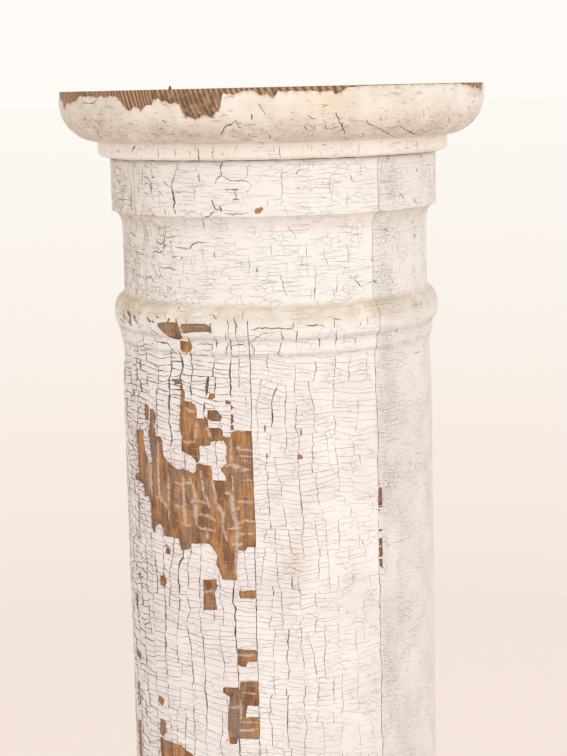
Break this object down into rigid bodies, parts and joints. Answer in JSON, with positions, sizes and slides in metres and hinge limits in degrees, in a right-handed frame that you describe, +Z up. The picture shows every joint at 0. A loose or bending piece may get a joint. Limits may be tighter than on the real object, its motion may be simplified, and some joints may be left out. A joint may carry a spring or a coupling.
{
  "type": "wooden pillar",
  "caption": "Round hollow wooden column glued up from staves, with a turned capital, neck mouldings, astragal and base ring, under thick cracked and flaking off-white paint.",
  "frame": {"origin": "on the ground under the column's axis, at the centre of the base ring's underside", "axes": "+Z up along the column's axis; the front that the picture shows faces -Y; +X is to its right"},
  "size_m": [0.279, 0.279, 1.524],
  "materials": {
    "capital_paint": "old off-white paint, satin",
    "stave_paint": "cracked and flaking off-white paint, matt",
    "base_paint": "worn off-white paint, matt"
  },
  "bodies": {
    "root": {"capital": "capital_paint", "stave_1": "stave_paint", "stave_2": "stave_paint", "stave_3": "stave_paint", "stave_4": "stave_paint", "stave_5": "stave_paint", "stave_6": "stave_paint", "stave_7": "stave_paint", "stave_8": "stave_paint", "base_ring": "base_paint"}
  },
  "joints": []
}
